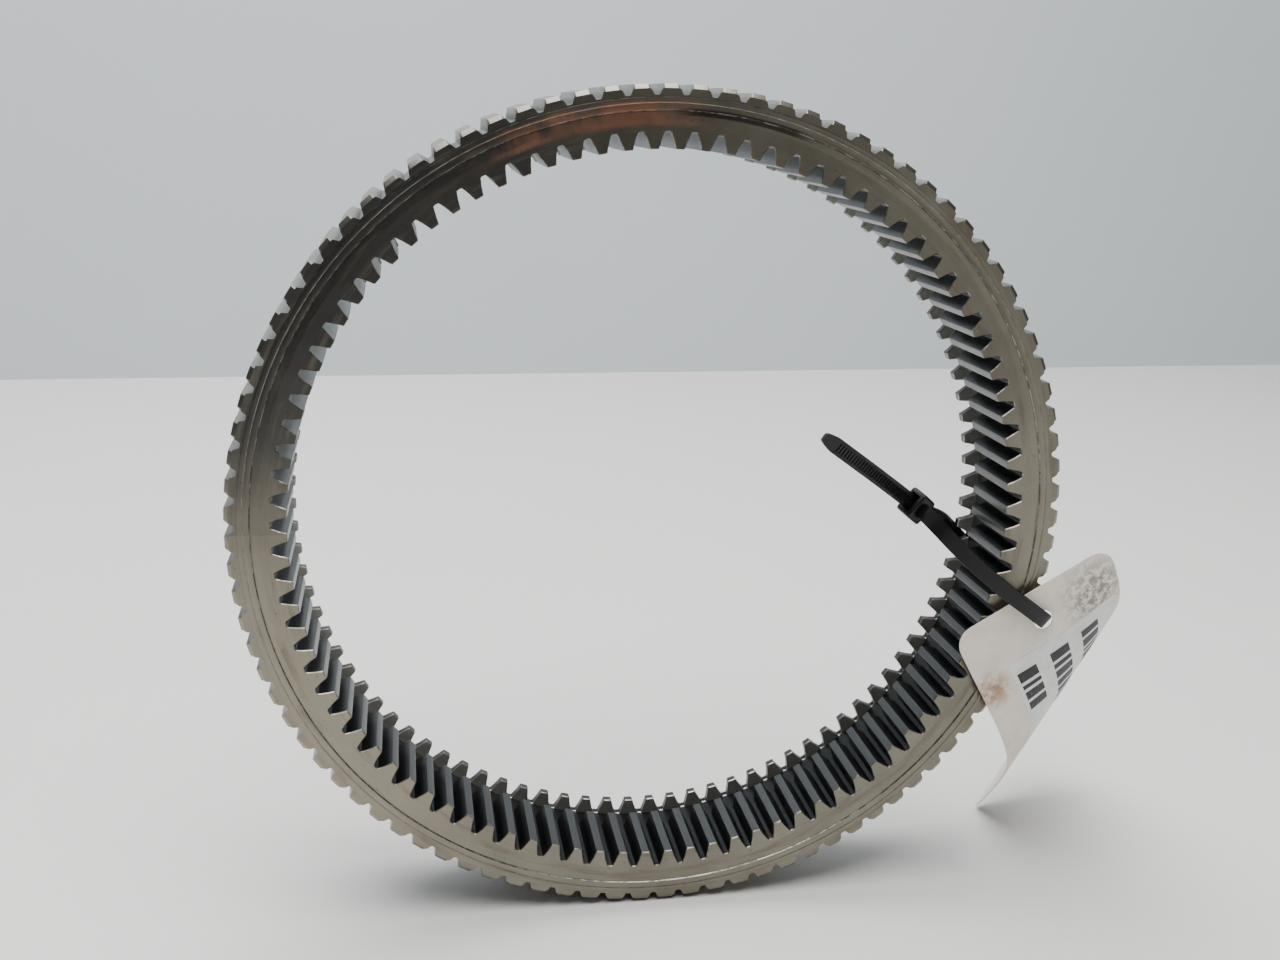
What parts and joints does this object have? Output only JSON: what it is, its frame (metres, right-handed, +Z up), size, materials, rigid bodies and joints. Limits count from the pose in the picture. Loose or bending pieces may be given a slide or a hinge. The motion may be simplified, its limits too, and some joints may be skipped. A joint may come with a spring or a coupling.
{
  "type": "planetary ring gear with an identification tag",
  "caption": "Narrow steel ring gear with straight internal teeth and stub external spline teeth, with a swing tag held on its rim by a nylon cable tie.",
  "frame": {"origin": "centre of the ring, on its axis and half way along its width", "axes": "+Y along the ring's axis from the front face to the back face, +Z up with the ring standing on its rim, +X to the right seen from the front"},
  "size_m": [0.2802, 0.0713, 0.24],
  "materials": {
    "gear_steel": "satin machined and oiled steel, dark in the tooth gaps",
    "black_nylon": "smooth moulded nylon with a fine ribbed face",
    "tag_card": "matte cream card with grease marks",
    "label_paper": "satin printed label"
  },
  "bodies": {
    "ring": {"ring_gear": "gear_steel"},
    "cable_tie": {"cable_tie_strap": "black_nylon", "cable_tie_head": "black_nylon"},
    "pawl": {"cable_tie_pawl": "black_nylon"},
    "tag": {"tag_card": "tag_card", "tag_label": "label_paper"}
  },
  "joints": [
    {"name": "tie_slide", "type": "hinge", "parent": "ring", "child": "cable_tie", "pos_m": [0, 0, 0], "axis": [0, 1, 0], "continuous": true},
    {"name": "tag_swing", "type": "hinge", "parent": "cable_tie", "child": "tag", "pos_m": [0.1169, -0.0201, -0.03292], "axis": [0, 1, 0], "range_deg": [-30, 6]},
    {"name": "pawl_flex", "type": "hinge", "parent": "cable_tie", "child": "pawl", "pos_m": [0.07939, -0.01115, -0.00035], "axis": [0.6481, 0, 0.7615], "range_deg": [0, 8], "stiffness_Nm_per_rad": 0.002}
  ]
}
